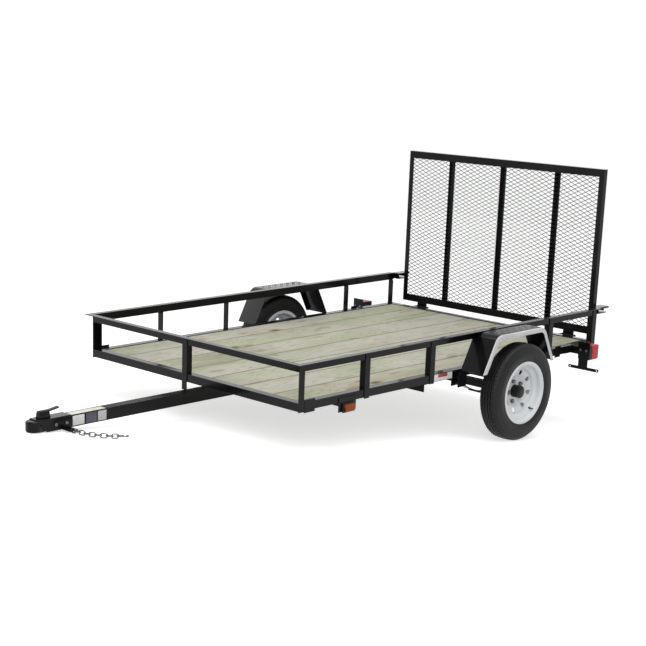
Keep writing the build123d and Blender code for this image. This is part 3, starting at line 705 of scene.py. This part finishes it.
tread_section = []
for middle in groove_middles:
    for offset, depth in ((groove_half, 0.0), (0.6 * groove_half, groove_depth),
                          (-0.6 * groove_half, groove_depth), (-groove_half, 0.0)):
        tread_section.append((crown(middle + offset) - depth, middle + offset))
tyre_outside = [*wall_section, (crown(0.0345), 0.0345), *tread_section, (crown(0.0345), -0.0345),
                *((radius, -width) for radius, width in reversed(wall_section))]
tyre_inside = [(0.158, -0.034), (0.212, -0.051), (0.251, -0.028),
               (0.251, 0.028), (0.212, 0.051), (0.158, 0.034)]
tyre_places = {"left": Vector((0.0, wheel_y, axle_height)), "right": Vector((0.0, -wheel_y, axle_height))}
for side in ("left", "right"):
    tyre = lathe(f"tread_tyre_{side}", tyre_outside + tyre_inside, tread_steps)
    only(tyre)
    bpy.ops.object.mode_set(mode="EDIT")
    mesh = bmesh.from_edit_mesh(tyre.data)
    for vertex in mesh.verts:
        reach = hypot(vertex.co.x, vertex.co.z)
        if reach > 0.257 and abs(vertex.co.y) < 0.031:
            station = round(atan2(vertex.co.z, vertex.co.x) / (2 * pi) * tread_steps)
            vertex.co.y += zigzag if station % 4 < 2 else -zigzag
    bmesh.update_edit_mesh(tyre.data)
    bpy.ops.object.mode_set(mode="OBJECT")
    pick_faces(tyre, lambda centre, normal: 0.2590 < hypot(centre.x, centre.z) < 0.2640
               and abs(centre.y) > 0.0345
               and int((atan2(centre.z, centre.x) / (2 * pi) + 1.0) * tread_steps) % 2 == 0)
    bpy.ops.mesh.extrude_region_shrink_fatten(TRANSFORM_OT_shrink_fatten={"value": -notch_depth})
    bpy.ops.object.mode_set(mode="OBJECT")
    tyre.matrix_world = Matrix.Translation(tyre_places[side])
    settle(tyre, f"tread_tyre_{side}", rubber_finish, f"wheel_{side}")
    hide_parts(f"tyre_{side}")

# Wheels: a rolled steel rim with a drop centre and a pressed disc welded into it, eight round vents
# and five lug holes punched through the disc, sprayed white. A rubber valve stands in the rim.
white_enamel = enamel_finish("white_enamel", (0.69, 0.72, 0.74), (0.58, 0.605, 0.615), 0.18, 0.34)
rim_radius, rim_half = 0.171, 0.057
disc_plane, disc_sheet = -0.018, 0.004
hub_radius = 0.034
lug_circle, lug_count = 0.05715, 5
vent_circle, vent_count, vent_start = 0.103, 8, -11.0
lug_hole, vent_hole = 0.007, 0.014
rim_section = [(0.1695, rim_half), (rim_radius, rim_half - 0.0015), (rim_radius, rim_half - 0.005),
               (0.157, rim_half - 0.008), (0.151, 0.040), (0.151, 0.028), (0.128, 0.018), (0.128, -0.014),
               (0.151, -0.024), (0.151, -0.040), (0.157, 0.008 - rim_half), (rim_radius, 0.005 - rim_half),
               (rim_radius, -rim_half), (0.154, 0.002 - rim_half), (0.147, -0.043), (0.147, -0.026),
               (0.124, -0.016), (0.124, 0.000), (0.112, 0.004), (0.096, 0.000), (0.078, disc_plane),
               (hub_radius + 0.0005, disc_plane), (hub_radius + 0.0005, disc_plane + disc_sheet),
               (0.073, disc_plane + disc_sheet), (0.079, disc_plane + disc_sheet + 0.003), (0.092, 0.0018),
               (0.099, 0.0058), (0.106, 0.0076), (0.114, 0.0079), (0.1225, 0.0065), (0.124, 0.0085),
               (0.124, 0.0180), (0.1265, 0.0212), (0.1455, 0.0292), (0.147, 0.0315), (0.147, 0.0425),
               (0.1500, 0.0505), (0.1560, rim_half - 0.0018)]
valve_section = [(0.0, 0.052), (0.0024, 0.052), (0.0030, 0.050), (0.0030, 0.036), (0.0052, 0.030),
                 (0.0062, 0.022), (0.0, 0.022)]


def punch_ring(circle, count, start, radius):
    """Round bars on a circle, to punch holes through a wheel disc."""
    bar = start_round(radius, 0.060, (0.0, -0.004, 0.0), 32, (-pi / 2, 0.0, 0.0))
    spots = []
    for number in range(count):
        angle = radians(start) - 2 * pi * number / count
        spots.append(Matrix.Translation((circle * cos(angle), 0.0, -circle * sin(angle))))
    return copies(bar, spots)


wheel_places = {}
for side, sign in (("left", 1.0), ("right", -1.0)):
    wheel_places[side] = Matrix.Translation(tyre_places[side]) @ Matrix.Scale(sign, 4, (0.0, 1.0, 0.0))
    wheel = lathe(f"wheel_disc_{side}", rim_section, 96)
    for circle, count, start, radius in ((lug_circle, lug_count, 0.0, lug_hole),
                                         (vent_circle, vent_count, vent_start, vent_hole)):
        punch = punch_ring(circle, count, start, radius)
        holes = wheel.modifiers.new("holes", "BOOLEAN")
        holes.operation = "DIFFERENCE"
        holes.solver = "EXACT"
        holes.object = punch
        apply_all(wheel)
        bpy.data.objects.remove(punch)
    wheel.matrix_world = wheel_places[side]
    fix_place(wheel)
    face_outward(wheel)
    bpy.ops.object.shade_smooth_by_angle(angle=radians(30.0))
    settle(wheel, f"wheel_disc_{side}", white_enamel, f"wheel_{side}")
    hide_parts(f"rim_{side}")
    valve = lathe(f"valve_{side}", valve_section, 16)
    valve.matrix_world = wheel_places[side] @ Matrix.Translation((-0.092, 0.0, -0.102))
    settle(valve, f"valve_{side}", rubber_finish, f"wheel_{side}")

# Hubs: cast hubs in black with a pressed dust cap, and five plated cone nuts on studs that hold the
# wheel to the hub's flange.
hub_section = [(0.0, 0.0350), (0.0200, 0.0348), (0.0232, 0.0338), (0.0240, 0.0322), (0.0240, 0.0310),
               (0.0305, 0.0308), (0.0333, 0.0296), (hub_radius, 0.0275), (hub_radius, disc_plane),
               (0.0710, disc_plane), (0.0720, disc_plane - 0.001), (0.0720, disc_plane - 0.008),
               (hub_radius, disc_plane - 0.008), (hub_radius, -0.0665), (0.0, -0.0665)]
nut_radius, nut_height = 0.0115, 0.013
for side in ("left", "right"):
    hub = lathe(f"hub_cap_{side}", hub_section, 64)
    hub.matrix_world = wheel_places[side]
    fix_place(hub)
    face_outward(hub)
    settle(hub, f"hub_cap_{side}", satin_black, f"wheel_{side}")
    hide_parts(f"hub_{side}")
    nut = start_round(nut_radius, nut_height, (0.0, disc_plane + disc_sheet + nut_height / 2, 0.0), 6,
                      (-pi / 2, 0.0, 0.0))
    pick_faces(nut, lambda centre, normal: normal.y > 0.9)
    bpy.ops.mesh.inset(thickness=0.0026, depth=0.0016)
    bpy.ops.mesh.inset(thickness=0.0026, depth=-0.0016)
    bpy.ops.object.mode_set(mode="OBJECT")
    nut_spots = []
    for number in range(lug_count):
        angle = 2 * pi * number / lug_count
        nut_spot = Matrix.Translation((lug_circle * cos(angle), 0.0, lug_circle * sin(angle)))
        nut_spots.append(wheel_places[side] @ nut_spot @ Matrix.Rotation(angle, 4, "Y"))
    nuts = copies(nut, nut_spots)
    face_outward(nuts)
    settle(nuts, f"lug_nuts_{side}", dull_zinc, f"wheel_{side}")

# Fenders: one steel sheet folded over the wheel at two bends, with its outer edge rolled down into a
# lip, stud-welded to the side rail and sprayed black. The lip gets a light grey enamel as a painted highlight,
# standing in for the bright band of reflection it shows.
fender_top, fender_bottom = 0.594, 0.397
fender_flat, fender_reach = 0.210, 0.314
fender_bend, fender_sheet, fender_lip, fender_roll = 0.060, 0.003, 0.026, 0.007
fender_outer = wheel_y + 0.013
fender_slope = atan2(fender_top - fender_bottom, fender_reach - fender_flat)
fender_setback = fender_bend * tan(fender_slope / 2)
# painted highlight: a light grey colour for the black lip, standing in for its reflection
lip_painted_highlight = enamel_finish("lip_painted_highlight", (0.56, 0.56, 0.57), (0.42, 0.42, 0.42), 0.12, 0.22)
tread_long, tread_wide, tread_high = 0.022, 0.0055, 0.0011
tread_pitch, tread_rows, tread_columns, tread_margin = 0.026, 4, 6, 0.048


def pick_edges(piece, test):
    """Goes into edit mode with the edges selected that pass a test."""
    only(piece)
    bpy.ops.object.mode_set(mode="EDIT")
    bpy.ops.mesh.select_mode(type="EDGE")
    bpy.ops.mesh.select_all(action="DESELECT")
    mesh = bmesh.from_edit_mesh(piece.data)
    for edge in mesh.edges:
        edge.select_set(test(edge))
    bmesh.update_edit_mesh(piece.data)


def at_bend(edge):
    """Whether an edge runs across the sheet where it folds."""
    ends = [vertex.co for vertex in edge.verts]
    return all(abs(abs(end.x) - fender_flat) < 0.001 for end in ends) and abs(ends[0].x - ends[1].x) < 0.001


def at_lip(edge):
    """Whether an edge lies between the sheet and its lip."""
    tilts = [abs(face.normal.y) for face in edge.link_faces]
    return len(tilts) == 2 and max(tilts) > 0.9 and min(tilts) < 0.1


def level_face(face):
    """A parked face's normal and centre as they are on the level trailer."""
    return parked.inverted().to_3x3() @ face.normal, parked.inverted() @ face.center


for side, sign in (("left", 1.0), ("right", -1.0)):
    fender = start_block(-fender_reach, fender_reach, frame_half, fender_outer, fender_bottom, fender_top)
    fix_place(fender)
    pick_faces(fender, lambda centre, normal: normal.z > 0.9)
    bpy.ops.transform.resize(value=(fender_flat / fender_reach, 1.0, 1.0))
    bpy.ops.object.mode_set(mode="OBJECT")
    pick_faces(fender, lambda centre, normal: normal.z < -0.9 or normal.y < -0.9)
    bpy.ops.mesh.delete(type="ONLY_FACE")
    bpy.ops.object.mode_set(mode="OBJECT")
    pick_edges(fender, at_bend)
    bpy.ops.mesh.bevel(offset_type="OFFSET", offset=fender_setback, segments=8, profile=0.5)
    bpy.ops.object.mode_set(mode="OBJECT")
    pick_faces(fender, lambda centre, normal: normal.y > 0.9)
    bpy.ops.mesh.inset(thickness=fender_lip, depth=0.0, use_boundary=True)
    bpy.ops.mesh.delete(type="FACE")
    bpy.ops.object.mode_set(mode="OBJECT")
    pick_faces(fender, lambda centre, normal: normal.y > 0.9 and centre.z < fender_bottom + fender_lip * 0.6)
    bpy.ops.mesh.delete(type="FACE")
    bpy.ops.object.mode_set(mode="OBJECT")
    lip_feet = [vertex for vertex in fender.data.vertices if vertex.co.y > fender_outer - 0.001
                and abs(vertex.co.z - fender_bottom - fender_lip) < 0.002]
    for vertex in lip_feet:
        vertex.co.x += (1.0 if vertex.co.x > 0 else -1.0) * fender_lip / tan(fender_slope)
        vertex.co.z = fender_bottom
    pick_edges(fender, at_lip)
    bpy.ops.mesh.bevel(offset_type="OFFSET", offset=fender_roll, segments=5, profile=0.5)
    bpy.ops.object.mode_set(mode="OBJECT")
    wall = fender.modifiers.new("sheet", "SOLIDIFY")
    wall.thickness = fender_sheet
    wall.offset = -1.0
    apply_all(fender)
    bpy.ops.object.shade_smooth_by_angle(angle=radians(40.0))
    fender.matrix_world = Matrix.Scale(sign, 4, (0.0, 1.0, 0.0))
    fix_place(fender)
    face_outward(fender)
    settle(fender, f"fender_sheet_{side}", black_enamel, "chassis")
    # the lip's outward faces take the painted highlight colour; the rest of the sheet stays black
    fender.data.materials.append(lip_painted_highlight)
    for face in fender.data.polygons:
        normal, centre = level_face(face)
        face.material_index = int(normal.y * sign > 0.25 and abs(centre.y) > fender_outer - 0.008)
    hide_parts(f"fender_{side}")
    bar = start_block(-tread_long / 2, tread_long / 2, -tread_wide / 2, tread_wide / 2, 0.0, tread_high)
    pick_faces(bar, lambda centre, normal: normal.z > 0.9)
    bpy.ops.transform.resize(value=(0.72, 0.45, 1.0))
    bpy.ops.object.mode_set(mode="OBJECT")
    spots = []
    for row in range(tread_rows):
        row_y = sign * (frame_half + tread_margin + row * tread_pitch)
        for column in range(-tread_columns, tread_columns + 1):
            lie = radians(45.0 if (row + column) % 2 else -45.0)
            spot = (column * tread_pitch, row_y, fender_top - 0.0002)
            spots.append(Matrix.Translation(spot) @ Matrix.Rotation(lie, 4, "Z"))
    tread_bars = copies(bar, spots)
    settle(tread_bars, f"fender_tread_{side}", black_enamel, "chassis")

# Side markers and tail lamps: moulded acrylic lenses with fine prisms inside, amber at the sides and
# red behind, pressed onto black housings that are bolted to their plates. The sides of the tail lamps
# that look inward are black.
def lens_finish(name, deep, pale, prism):
    """Tinted acrylic with rows of prisms across it."""
    finish, shader, tree = new_finish(name)
    place = tree.nodes.new("ShaderNodeTexCoord")
    ribs = tree.nodes.new("ShaderNodeTexWave")
    ribs.bands_direction = "X"
    ribs.inputs["Scale"].default_value = prism
    tree.links.new(place.outputs["Object"], ribs.inputs["Vector"])
    tree.links.new(ramp(tree, ribs.outputs["Fac"], (0.15, deep), (0.85, pale)), shader.inputs["Base Color"])
    relief(tree, ribs.outputs["Fac"], shader, 0.35, 0.0012)
    shader.inputs["Roughness"].default_value = 0.18
    shader.inputs["Specular IOR Level"].default_value = 0.15
    return finish


amber_finish = lens_finish("amber_acrylic", (0.10, 0.014, 0.0), (0.34, 0.075, 0.0), 38.0)
red_finish = lens_finish("red_acrylic", (0.34, 0.010, 0.018), (0.62, 0.060, 0.080), 32.0)
plastic_finish = enamel_finish("black_plastic", (0.012, 0.012, 0.013), (0.024, 0.024, 0.024), 0.45, 0.6)
marker_front, marker_rear = frame_front - 0.304, frame_front - 0.386
marker_inner, marker_depth = frame_half + steel, 0.020
marker_base, marker_rim = 0.009, 0.006
marker_high, marker_low = deck_height - plank_thickness - 0.003, deck_height - plank_thickness - 0.051
lamp_face = frame_rear + 0.228
lamp_inner, lamp_outer = frame_half + 0.048, frame_half + 0.126
lamp_high, lamp_low = deck_height + steel + 0.014, deck_height + steel - 0.070
lamp_base, lamp_depth = 0.024, 0.090
dress("tail_housings", plastic_finish)
for name, finish, slot_name, box, rounding, node_name in (
        ("marker_base", plastic_finish, "black_plastic",
         (marker_rear, marker_front, marker_inner, marker_inner + marker_base, marker_low, marker_high),
         0.002, None),
        ("marker_lens", amber_finish, "amber",
         (marker_rear + marker_rim, marker_front - marker_rim, marker_inner + marker_base - 0.001,
          marker_inner + marker_depth, marker_low + marker_rim, marker_high - marker_rim), 0.004,
         "marker_lenses"),
        ("tail_lens", red_finish, "red",
         (lamp_face - lamp_depth, lamp_face - lamp_base, lamp_inner, lamp_outer, lamp_low, lamp_high), 0.006,
         "tail_lenses")):
    lens = start_block(*box)
    ease(lens, rounding, 4)
    pair = copies(lens, [Matrix.Identity(4), mirror_y])
    face_outward(pair)
    settle(pair, f"{name}_pair", finish, "chassis")
    if node_name:
        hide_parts(node_name)
    if node_name == "tail_lenses":
        pair.data.materials.append(plastic_finish)
        for face in pair.data.polygons:
            normal, centre = level_face(face)
            face.material_index = int(normal.y * centre.y < 0 and abs(normal.y) > 0.6)
lamp_bolt_radius, lamp_bolt_head, lamp_bolt_spread = 0.0075, 0.0050, 0.020
lamp_bolt = start_round(lamp_bolt_radius, lamp_bolt_head, (lamp_bolt_head / 2, 0.0, 0.0), 6,
                        (0.0, pi / 2, 0.0))
chamfer_head(lamp_bolt, lambda centre, normal: normal.x > 0.9, 0.0015, 0.0007)
lamp_middle = (lamp_inner + lamp_outer) / 2
lamp_spots = [Matrix.Translation((lamp_face + steel, side * (lamp_middle + across), lamp_high - 0.030))
              for side in (-1, 1) for across in (-lamp_bolt_spread, lamp_bolt_spread)]
lamp_bolts = copies(lamp_bolt, lamp_spots)
settle(lamp_bolts, "lamp_bolts", dull_zinc, "chassis")

# Gate mesh: expanded steel with diamonds 51 mm long and 24 mm high, its strands slit and stretched
# from one sheet, welded inside the gate's angle frame and painted black.
diamond_long, diamond_high = 0.051, 0.024
strand_width, strand_depth, strand_tilt = 0.0030, 0.0016, radians(20.0)
gate_half, gate_front = frame_half - 0.055, frame_rear - 0.046
gate_bottom, gate_height = deck_height + 0.023, 0.960
mesh_x = gate_front - steel - 0.0019
mesh_margin, strand_overlap = steel + 0.0005, 0.0008
mesh_half = gate_half - mesh_margin
mesh_low, mesh_high = gate_bottom + mesh_margin, gate_bottom + gate_height - mesh_margin
strand_turn = atan2(diamond_high, diamond_long)
strand_length = hypot(diamond_long, diamond_high) / 2
mesh_piece = start_block(-strand_depth / 2, strand_depth / 2, -strand_length / 2 - strand_overlap,
                         strand_length / 2 + strand_overlap, -strand_width / 2, strand_width / 2)
mesh_piece.rotation_mode = "QUATERNION"
mesh_piece.matrix_world = (Matrix.Translation((0.0, diamond_long / 4, diamond_high / 4))
                           @ Matrix.Rotation(strand_turn, 4, "X") @ Matrix.Rotation(strand_tilt, 4, "Y"))
fix_place(mesh_piece)
crossed = mesh_piece.modifiers.new("crossed", "MIRROR")
crossed.use_axis = (False, True, True)
crossed.use_mirror_merge = False
for count, offset in ((int(2 * mesh_half / diamond_long) + 2, (0.0, diamond_long, 0.0)),
                      (int((mesh_high - mesh_low) / diamond_high) + 2, (0.0, 0.0, diamond_high))):
    row = mesh_piece.modifiers.new("row", "ARRAY")
    row.use_relative_offset = False
    row.use_constant_offset = True
    row.constant_offset_displace = offset
    row.count = count
apply_all(mesh_piece)
mesh_piece.location = (mesh_x, -mesh_half, mesh_low)
fix_place(mesh_piece)
for middle, normal in (((0.0, mesh_half, 0.0), (0.0, 1.0, 0.0)), ((0.0, -mesh_half, 0.0), (0.0, -1.0, 0.0)),
                       ((0.0, 0.0, mesh_high), (0.0, 0.0, 1.0)), ((0.0, 0.0, mesh_low), (0.0, 0.0, -1.0))):
    bpy.ops.object.mode_set(mode="EDIT")
    bpy.ops.mesh.select_all(action="SELECT")
    bpy.ops.mesh.bisect(plane_co=middle, plane_no=normal, use_fill=False, clear_outer=True)
    bpy.ops.object.mode_set(mode="OBJECT")
settle(mesh_piece, "expanded_metal", black_enamel, "gate")
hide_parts("gate_mesh")
